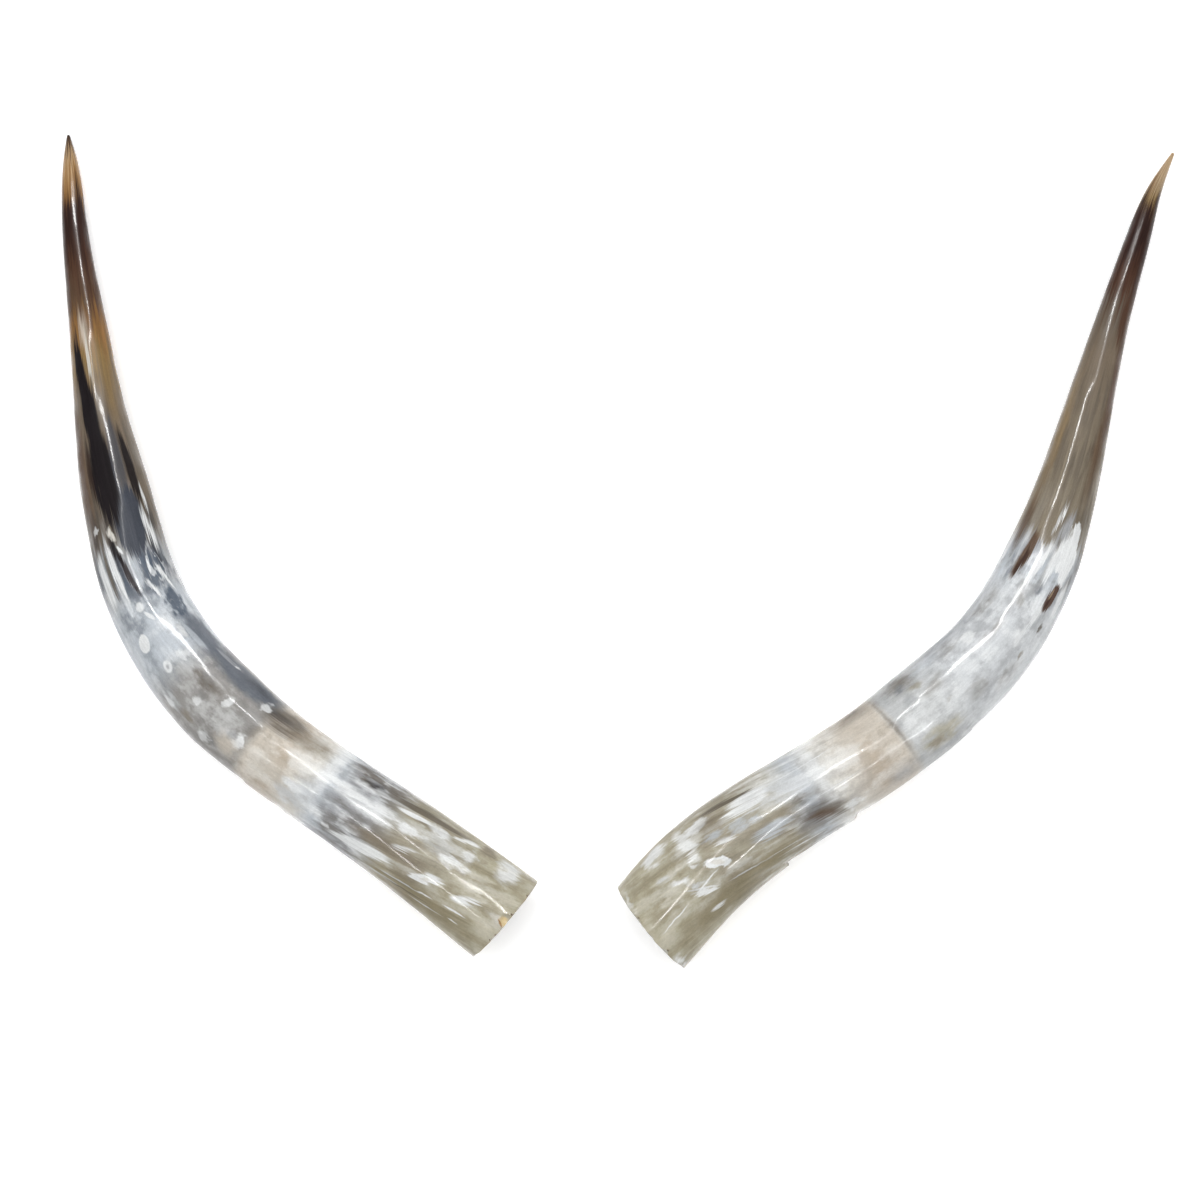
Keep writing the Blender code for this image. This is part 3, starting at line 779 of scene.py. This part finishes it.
RIGHT_MARKS = [
    (MOSS, 70, 90, -46, 30, -4, 0.8, 0.9, "soft"),
    (MILK, 3, 9, -64, 26, 0, 0.9, 0.75, "cloud"),
    (MILK, 3, 5, 40, 24, 0, 0.9, 0.5, "cloud"),
    (UMBER, 0.8, 1.8, -33, 2.0, 0, 0.6, 0.7, "plain"),
    (UMBER, 0.8, 1.6, 16, 1.6, 0, 0.6, 0.7, "plain"),
    (MILK, 45, 18, 58, 22, 0, 0.6, 0.85, "cloud"),
    (MILK, 71, 9, 36, 38, 0, 0.6, 0.7, "feather"),
    (MILK, 85, 16, 46, 13, -6, 0.5, 0.85, "cloud"),
    (TAUPE, 95, 22, 34, 30, 0, 0.8, 0.5, "soft"),
    (MILK, 100, 15, 8, 4, -20, 0.6, 0.7, "feather"),
    (MARBLE, 118, 22, 10, 12, -6, 0.7, 0.8, "cloud"),
    (MARBLE, 92, 14, 20, 8, -12, 0.7, 0.7, "cloud"),
    (MILK, 64, 9, 12, 5, -40, 0.6, 0.7, "cloud"),
    (MILK, 81, 15, -6, 8, -36, 0.3, 0.95, "cloud"),
    (CREAM, 80, 8, -5, 4, -36, 0.5, 0.8, "plain"),
    (MILK, 60, 14, -17, 1.8, -34, 0.6, 0.7, "plain"),
    (PEARL, 52, 12, -10, 1.3, -34, 0.6, 0.6, "plain"),
    (MILK, 56, 15, -19, 5, -32, 0.5, 0.85, "feather"),
    (MILK, 49, 15, 6, 6, -34, 0.7, 0.8, "cloud"),
    (PEARL, 58, 13, -8, 5, -34, 0.7, 0.8, "cloud"),
    (PEARL, 40, 9, 24, 5, -20, 0.8, 0.6, "feather"),
    (MILK, 57, 10, -44, 4, -12, 0.6, 0.75, "feather"),
    # Painted highlights: these five thin pale lines are lines of gloss painted into the colour, not
    # marks of the horn
    (MILK, 25, 21, -15.5, 1.2, 0, 0.6, 0.8, "plain"),
    (MILK, 63, 19, -12.5, 1.2, 5, 0.6, 0.8, "plain"),
    (PEARL, 125, 36, 18, 1.3, -5, 0.7, 0.7, "plain"),
    (MILK, 202, 34, -13, 1.2, 0, 0.7, 0.6, "plain"),
    (MILK, 190, 46, 33, 1.2, 0, 0.7, 0.6, "plain"),
    (PEARL, 92, 20, -34, 1.4, -12, 0.6, 0.7, "plain"),
    (PEARL, 112, 24, -40, 1.4, -12, 0.6, 0.7, "plain"),
    (SMOKE, 116, 36, 50, 4.5, -13, 0.5, 0.9, "streak"),
    (MILK, 130, 28, 33, 14, -3, 0.4, 0.9, "feather"),
    (PEARL, 168, 40, 20, 24, 0, 0.7, 0.8, "cloud"),
    (MARBLE, 137, 30, -14, 13, -8, 0.5, 0.8, "feather"),
    (MOSS, 128, 44, -46, 16, -8, 0.8, 0.8, "streak"),
    (SMOKE, 168, 16, -6, 10, 0, 0.8, 0.5, "cloud"),
    (SLATE, 170, 32, -28, 34, 0, 1.2, 0.6, "soft"),
    (SMOKE, 184, 40, -38, 26, -24, 0.8, 0.85, "feather"),
    (BROWN, 180, 28, -36, 11, -22, 0.9, 0.65, "streak"),
    (MILK, 140, 30, -46, 1.8, -10, 0.6, 0.75, "streak"),
    (MILK, 150, 34, -56, 2.0, -10, 0.6, 0.75, "streak"),
    (MILK, 193, 10, 20, 60, 0, 0.9, 0.6, "soft"),
    (MILK, 207, 12, -50, 12, 0, 0.7, 0.7, "cloud"),
    (BEIGE, 244, 34, 42, 30, 0, 0.7, 0.8, "soft"),
    (SMOKE, 250, 44, 68, 36, 0, 1.4, 1.0, "soft"),
    (ASH, 256, 26, -52, 26, 0, 1.3, 0.7, "soft"),
    (SMOKE, 270, 3.4, 10, 80, 0, 0.9, 0.45, "plain"),
    (MILK, 284, 14, -6, 30, 0, 0.8, 0.5, "cloud"),
    (SMOKE, 302, 30, 54, 30, 0, 1.1, 0.85, "soft"),
    (SLATE, 296, 10, 44, 14, 0, 1.1, 0.55, "cloud"),
    (MOSS, 306, 14, 30, 12, 0, 1.0, 0.55, "cloud"),
    (FOG, 320, 22, 18, 20, 0, 1.2, 0.85, "cloud"),
    (MILK, 330, 15, -4, 18, 0, 1.0, 0.7, "cloud"),
    (FOG, 350, 32, 48, 18, 0, 1.2, 0.9, "cloud"),
    (FOG, 350, 26, -26, 20, 0, 1.2, 0.75, "cloud"),
    (FOG, 376, 24, -46, 16, 0, 1.2, 0.8, "cloud"),
    (FOG, 392, 22, 14, 13, 0, 1.1, 0.75, "cloud"),
    (FOG, 410, 34, 50, 18, -6, 1.1, 0.85, "cloud"),
    (MILK, 404, 15, -20, 14, 0, 0.9, 0.75, "cloud"),
    (MILK, 438, 20, 10, 15, 0, 0.9, 0.85, "cloud"),
    (FOG, 432, 12, 5, 12, 0, 1.2, 0.8, "cloud"),
    (SLATE, 447, 9, -10, 7, 0, 1.0, 0.7, "cloud"),
    (MILK, 428, 26, -24, 7, -6, 0.6, 0.8, "feather"),
    (MILK, 452, 26, -50, 8, 0, 0.6, 0.8, "feather"),
    (STRAW, 298, 34, -40, 24, 0, 0.8, 0.7, "cloud"),
    (TAUPE, 290, 16, -46, 12, 0, 0.8, 0.5, "cloud"),
    (SLATE, 372, 120, 70, 36, 0, 1.2, 0.75, "soft"),
    (TAUPE, 120, 130, 84, 26, 0, 0.9, 0.6, "soft"),
    (MARBLE, 330, 30, 50, 20, 0, 0.8, 0.5, "cloud"),
    (MILK, 374, 11, 34, 14, 0, 0.5, 0.7, "soft"),
    (TAUPE, 322, 7, -8, 5, 0, 0.7, 0.5, "cloud"),
    (SMOKE, 421, 7, -41, 5, 10, 0.5, 0.85, "cloud"),
    (TAUPE, 393, 6, -40, 4, 0, 0.6, 0.6, "cloud"),
    (MARBLE, 466, 34, 60, 14, 0, 0.6, 0.7, "cloud"),
    (SLATE, 455, 30, 46, 9, 0, 0.8, 0.6, "cloud"),
    (MILK, 480, 36, -14, 9, -8, 0.4, 0.85, "streak"),
    (ASH, 511, 22, -13, 14, -14, 0.6, 0.85, "feather"),
    (MILK, 491, 36, -34, 19, 0, 0.15, 0.97, "cloud"),
    (TAUPE, 512, 30, 14, 24, 0, 0.4, 0.97, "streak"),
    (MILK, 470, 30, 4, 5, -9, 0.5, 0.85, "feather"),
    (UMBER, 447, 19, -33, 8.5, -8, 0.35, 0.95, "streak"),
    (PLUM, 442, 9, -31, 4, -8, 0.7, 0.6, "streak"),
    (SAND, 450, 8, -30, 2.4, -8, 0.8, 0.6, "streak"),
    (BROWN, 476, 38, 31, 10.5, -9, 0.4, 0.95, "streak"),
    (PLUM, 466, 22, 32, 6, -10, 0.5, 0.8, "streak"),
    # Painted highlights: these two thin pale lines are small lines of gloss painted into the colour
    (MILK, 522, 26, -2, 3.4, -10, 0.6, 0.85, "feather"),
    (PEARL, 514, 16, 3, 2.4, -8, 0.6, 0.7, "feather"),
    (BROWN, 510, 50, 58, 14, 0, 0.7, 0.85, "streak"),
    (BROWN, 594, 84, -38, 23, -3, 0.9, 0.8, "soft"),
    (UMBER, 680, 120, -52, 26, 0, 0.8, 0.8, "streak"),
    (UMBER, 724, 40, -34, 30, 0, 0.8, 0.85, "streak"),
    (OCHRE, 600, 110, 60, 24, 0, 1.0, 0.7, "soft"),
    (UMBER, 762, 26, 34, 26, 0, 0.8, 0.5, "streak"),
    (PLUM, 856, 16, -50, 34, 0, 0.6, 0.9, "streak"),
]
CHART_ARC = TUBE_RADIUS * pi / 180

# Noises: how far a blotch reaches round the horn and along it, detail, roughness
STREAKS = (0.0045, 0.110, 3.0, 0.6)
THREADS = (0.0014, 0.060, 3.0, 0.6)
BILLOWS = (0.0300, 0.045, 2.0, 0.5)
WISPS = (0.0100, 0.050, 3.0, 0.5)
CLOUDS = (0.0150, 0.024, 6.0, 0.62)
BANDS = (0.0260, 0.009, 2.0, 0.5)
LICKS = (0.0100, 0.024, 2.0, 0.5)
WARP = (0.006, 0.012, 3.0, 0.6)
FINE_CLOUDS = (0.0070, 0.016, 3.0, 0.5)
GRIT = (0.0010, 0.0018, 2.0, 0.6)
SCUFFS = (0.0009, 0.020, 2.0, 0.5)
SHEEN = (0.030, 0.030, 1.0, 0.4)
SAWN_LAYERS = (0.0012, 0.004, 3.0, 0.6)
SAWN_SPECKS = (0.0030, 0.0030, 2.0, 0.5)
GROOVES = (0.0018, 0.060, 3.0, 0.6)
GROWTH_RINGS = (0.060, 0.006, 3.0, 0.6)
STAINS = (0.012, 0.030, 4.0, 0.6)

# How far the borders between tones wander, and how far threads and streaks comb them lengthwise:
# combing has a least share and gains the rest where the mottling is streaky
BORDER_WANDER = 0.020
THREAD_COMB = 0.030
STREAK_COMB = 0.045
COMB_LEAST = 0.06
COMB_GAIN = 0.9
# Combing of the borders by place on the horn: from, to, and its strength at each
BORDER_COMB = (0.55, 0.78, 1.2, 2.4)
# The mottling: share of the bands, share of the billows, and the spans that make white and dark
BAND_SHARE = 0.35
WHITE_BILLOWS = 0.4
DARK_BILLOWS = 0.3
WHITE_SPAN = (0.47, 0.66)
DARK_SPAN = (0.53, 0.36)
# How far a mark's edge is pushed about, and how its body thins: noise from, to, body at each
PLAIN_WARP = (0.003, 0.003, 0.0)
CLOUD_WARP = (0.016, 0.010, 0.0)
THREAD_WARP = 0.006
WHOLE_BODY = 1.15
CLOUD_BODY = (0.35, 0.65, 0.45, 1.6)
STREAK_BODY = (0.70, 1.30, 0.75, 1.6)
FEATHER_BODY = (0.70, 1.30, 0.3, 1.9)
LICK_BODY = (0.07, 0.0, 0.0, 1.6)
MARK_EDGE = 0.10
# What the noises do to the finished colour at the two ends of their middle span. Threads and
# streaks always have the least share of their effect, and all of it where the horn is streaky.
NOISE_SPAN = (0.3, 0.7)
THREAD_TINT = (0.89, 1.09)
STREAK_TINT = (0.87, 1.11)
CLOUD_TINT = (0.90, 1.08)
GRIT_TINT = (0.92, 1.07)
LEAST_TINT = 0.3
# The polish's roughness at those two ends, and the coat over it: noise from, to, weight at each
POLISH = (0.30, 0.22)
COAT = (0.40, 0.60, 0.18, 1.0)
# The fine grooves fade towards the point: place from, to, and their height at each
GROOVE_FADE = (0.35, 0.80, 1.0, 0.12)


def lay_marks(horn, colour, marks, kinds):
    """Lays the listed marks over the colour, on the chart of distance and arc."""
    for shade, place, half_length, at, half_arc, tilt, edge, strength, kind in marks:
        ruler, body = kinds[kind]
        sockets = {
            "Vector": ruler,
            "Location": (place / 1000, at * CHART_ARC, 0),
            "Rotation": (0, 0, radians(tilt)),
            "Scale": (half_length / 1000, half_arc * CHART_ARC, 1),
        }
        shaped = horn.add("ShaderNodeMapping", {"vector_type": "TEXTURE"}, sockets)
        ball = horn.add("ShaderNodeTexGradient", {"gradient_type": "SPHERICAL"}, {0: shaped}, out=1)
        mask = horn.range(ball * body, MARK_EDGE, MARK_EDGE + edge, 0.0, strength)
        colour = horn.mix(mask, colour, shade)
    return colour


def polished_horn(name, ground, marks, length):
    """Translucent-looking polished horn: tones along its length, mottling, marks and fibres."""
    horn = Finish(name)
    grown = horn.attribute("grown")
    fibre = horn.attribute("fibre")
    inward = horn.add("ShaderNodeSeparateXYZ", {}, {0: grown})
    crest = Wire(horn, inward.socket.node.outputs["Y"])
    place = Wire(horn, inward.socket.node.outputs["Z"])
    angle = inward.maths("ARCTAN2", crest)

    streaks = horn.noise(fibre, STREAKS)
    threads = horn.noise(fibre, THREADS)
    billows = horn.noise(grown, BILLOWS)
    softly = (place + (billows - 0.5) * BORDER_WANDER) / length

    def along(column, reader):
        stops = [(min(row[0] / 1000 / length, 1.0), row[column]) for row in ground]
        stops = [(at, value if column < 3 else (value, value, value, 1)) for at, value in stops]
        return horn.add("ShaderNodeValToRGB", {"stops": stops}, {0: reader})

    streaky = along(5, softly)
    combing = streaky * streaky * COMB_GAIN + COMB_LEAST
    shift = ((threads - 0.5) * THREAD_COMB + (streaks - 0.5) * STREAK_COMB) * combing
    lengthwise = horn.add("ShaderNodeCombineXYZ", {}, {"Z": shift})
    brushed_fibre = horn.vector("ADD", fibre, lengthwise)
    brushed = horn.vector("ADD", grown, lengthwise)
    wisps = horn.noise(brushed_fibre, WISPS)
    clouds = horn.noise(brushed, CLOUDS)
    bands = horn.noise(grown, BANDS)

    # Tones along the horn, with streaky borders, and what the mottling does to them
    ragged = (place + shift * horn.range(place, *BORDER_COMB)) / length
    mottle = clouds + (wisps - clouds) * streaky + (bands - 0.5) * (1 - streaky) * BAND_SHARE
    whites = horn.range(mottle + (billows - 0.5) * WHITE_BILLOWS, *WHITE_SPAN) * along(3, softly)
    darks = horn.range(mottle - (billows - 0.5) * DARK_BILLOWS, *DARK_SPAN) * along(4, softly)
    colour = horn.mix(darks, along(1, ragged), along(2, ragged))
    colour = horn.mix(whites, colour, MILK)

    # The kinds of mark: the chart that each is drawn on, and the body that its edge bites into
    chart = horn.add("ShaderNodeCombineXYZ", {}, {"X": place, "Y": angle * TUBE_RADIUS})
    centred = horn.vector("SUBTRACT", horn.noise(grown, WARP, out="Color"), (0.5, 0.5, 0.5))
    threadwise = horn.add("ShaderNodeCombineXYZ", {}, {"X": shift, "Y": (threads - 0.5) * THREAD_WARP})
    crisp = horn.vector("MULTIPLY_ADD", centred, PLAIN_WARP, chart)
    cloudy = horn.vector("MULTIPLY_ADD", centred, CLOUD_WARP, chart)
    combed = horn.vector("ADD", chart, threadwise)
    licks = (horn.noise(brushed, LICKS) - 0.5).maths("ABSOLUTE")
    grain = wisps + threads
    kinds = {
        "plain": (crisp, WHOLE_BODY),
        "soft": (cloudy, WHOLE_BODY),
        "cloud": (cloudy, horn.line(horn.noise(brushed, FINE_CLOUDS), *CLOUD_BODY)),
        "streak": (combed, horn.line(grain, *STREAK_BODY)),
        "feather": (combed, horn.line(grain, *FEATHER_BODY)),
        "lick": (cloudy, horn.range(licks, *LICK_BODY)),
    }
    colour = lay_marks(horn, colour, marks, kinds)

    # Fine fibres and a slow change of depth over everything
    fibrous = streaky * (1 - LEAST_TINT) + LEAST_TINT
    for share, noise, tint in (
        (fibrous, threads, THREAD_TINT),
        (fibrous, streaks, STREAK_TINT),
        (1.0, clouds, CLOUD_TINT),
        (1.0, horn.noise(grown, GRIT), GRIT_TINT),
    ):
        colour = horn.mix(share, colour, horn.line(noise, *NOISE_SPAN, *tint), "MULTIPLY")

    grooves = threads * 0.6 + horn.noise(fibre, SCUFFS) * 0.4
    height = grooves * horn.range(place, *GROOVE_FADE)
    horn.set(Base_Color=colour, Roughness=horn.line(clouds, *NOISE_SPAN, *POLISH),
             Normal=horn.bump(0.12, 0.0003, height),
             Coat_Weight=horn.range(horn.noise(grown, SHEEN), *COAT),
             Coat_Roughness=0.08, Coat_IOR=1.17, Specular_IOR_Level=0.05)
    return horn.material


def sawn_edge(name):
    """The matt sawn rim: layers of horn, olive and cream, with dark specks."""
    rim = Finish(name)
    grown = rim.attribute("grown")
    layers = rim.noise(grown, SAWN_LAYERS)
    specks = rim.noise(grown, SAWN_SPECKS)
    colour = rim.mix(rim.range(layers, 0.35, 0.65), OLIVE, CREAM)
    colour = rim.mix(rim.range(specks, 0.66, 0.72), colour, BROWN)
    rim.set(Base_Color=colour, Roughness=0.62, Normal=rim.bump(0.5, 0.0004, layers))
    return rim.material


def hollow_wall(name):
    """The inside of the sheath: dull grey-brown, with lengthwise grooves and growth rings."""
    wall = Finish(name)
    grown = wall.attribute("grown")
    grooves = wall.noise(grown, GROOVES)
    rings = wall.noise(grown, GROWTH_RINGS)
    stains = wall.noise(grown, STAINS)
    colour = wall.mix(wall.range(grooves, 0.35, 0.65), SMOKE, OLIVE)
    colour = wall.mix(wall.range(stains, 0.50, 0.66) * 0.6, colour, CREAM)
    colour = wall.mix(wall.range(rings, 0.52, 0.64) * 0.35, colour, BROWN)
    bump = wall.bump(0.6, 0.0006, grooves + rings * 0.6)
    wall.set(Base_Color=colour, Roughness=0.7, Normal=bump)
    return wall.material


def dress(node, horn, ground, marks, chipped):
    """Puts the fine skin of one horn in place of its CAD node."""
    piece = bend(straight_horn(node + "_polished", horn), horn, chipped)
    piece.data.materials.append(polished_horn(node + "_polish", ground, marks, horn.length))
    piece.data.materials.append(sawn_edge(node + "_sawn_edge"))
    piece.data.materials.append(hollow_wall(node + "_hollow_wall"))
    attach(piece, "root")
    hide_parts(node)


left = Horn(LEFT_STATIONS, -1, LEFT_SAW, LEFT_HOLLOW_DEPTH, LEFT_LEDGES, LEFT_TURNS, LEFT_BITES)
right = Horn(RIGHT_STATIONS, 1, RIGHT_SAW, RIGHT_HOLLOW_DEPTH, RIGHT_LEDGES, RIGHT_TURNS, RIGHT_BITES)
dress("left_horn", left, LEFT_GROUND, LEFT_MARKS, True)
dress("right_horn", right, RIGHT_GROUND, RIGHT_MARKS, False)


# Floor, light and camera
FLOOR_SIZE = 14.0
FLOOR_GAP = 0.0002
FLOOR_GLOW = 0.38
SKY_GLOW = 0.28
# Narrow lamps that show only as lines of gloss on the horns: start, end, width, watts
STRIP_HEIGHT = 2.0
STRIPS = {
    "near_strip": ((-0.02, -0.70), (0.02, 0.22), 0.09, 29),
    "middle_strip": ((0.03, 0.34), (0.0, 1.10), 0.10, 21),
    "far_strip": ((-0.02, 1.24), (0.0, 1.78), 0.20, 38),
    "last_strip": ((0.02, 1.90), (0.0, 2.90), 0.26, 88),
    "left_strip": ((-0.87, -1.08), (-1.34, -0.74), 0.07, 12),
    "right_strip": ((0.95, -1.0), (1.35, -0.70), 0.07, 12),
}
# The broad lamp that lights them without showing in the gloss
FILL_HEIGHT = 2.6
FILL = ((0.0, -1.3), (0.0, 1.9), 3.2, 84)
CAMERA_PLACE = (0.0815, -0.3957, 1.625)
CAMERA_PITCH = radians(11.4)
CAMERA_ROLL = radians(-3.0)


def make_floor():
    bpy.ops.object.select_all(action="DESELECT")
    bpy.ops.mesh.primitive_plane_add(size=FLOOR_SIZE, location=(0, 0, -FLOOR_GAP))
    floor = bpy.context.object
    floor.name = "floor"
    paper = Finish("pale_floor")
    paper.set(Base_Color=(0.93, 0.93, 0.93, 1), Roughness=0.9, Specular_IOR_Level=0.0,
              Emission_Color=(1.0, 1.0, 1.0, 1), Emission_Strength=FLOOR_GLOW)
    floor.data.materials.append(paper.material)


def hang_lamp(name, height, start, end, width, watts, mirrored):
    """A long soft lamp hung level between two points, shining down."""
    data = bpy.data.lights.new(name, "AREA")
    data.shape = "RECTANGLE"
    first, last = Vector((*start, height)), Vector((*end, height))
    run = last - first
    data.size = width
    data.size_y = run.length
    data.energy = watts
    lamp = bpy.data.objects.new(name, data)
    bpy.context.scene.collection.objects.link(lamp)
    lamp.location = (first + last) / 2
    lamp.rotation_euler = (0, 0, atan2(run.y, run.x) - pi / 2)
    lamp.visible_glossy = mirrored
    lamp.visible_diffuse = not mirrored


def make_light():
    world = bpy.data.worlds.new("studio")
    world.use_nodes = True
    sky = world.node_tree.nodes["Background"]
    sky.inputs["Color"].default_value = (1.0, 1.0, 1.0, 1)
    sky.inputs["Strength"].default_value = SKY_GLOW
    bpy.context.scene.world = world
    for name, measures in STRIPS.items():
        hang_lamp(name, STRIP_HEIGHT, *measures, True)
    hang_lamp("soft_fill", FILL_HEIGHT, *FILL, False)


def make_camera():
    right_way, far_way, down = Vector((1, 0, 0)), Vector((0, 1, 0)), Vector((0, 0, -1))
    pitched = cos(CAMERA_PITCH) * down + sin(CAMERA_PITCH) * far_way
    up_in_picture = cos(CAMERA_PITCH) * far_way - sin(CAMERA_PITCH) * down
    looking = cos(CAMERA_ROLL) * pitched + sin(CAMERA_ROLL) * right_way
    right_in_picture = cos(CAMERA_ROLL) * right_way - sin(CAMERA_ROLL) * pitched
    turned = Matrix((right_in_picture, up_in_picture, -looking)).transposed().to_4x4()
    data = bpy.data.cameras.new("camera")
    data.lens = 54.0
    data.sensor_width = 36.0
    data.clip_end = 50.0
    camera = bpy.data.objects.new("camera", data)
    camera.matrix_world = Matrix.Translation(CAMERA_PLACE) @ turned
    bpy.context.scene.collection.objects.link(camera)
    bpy.context.scene.camera = camera


make_floor()
make_light()
make_camera()
bpy.context.scene.view_settings.view_transform = "Standard"
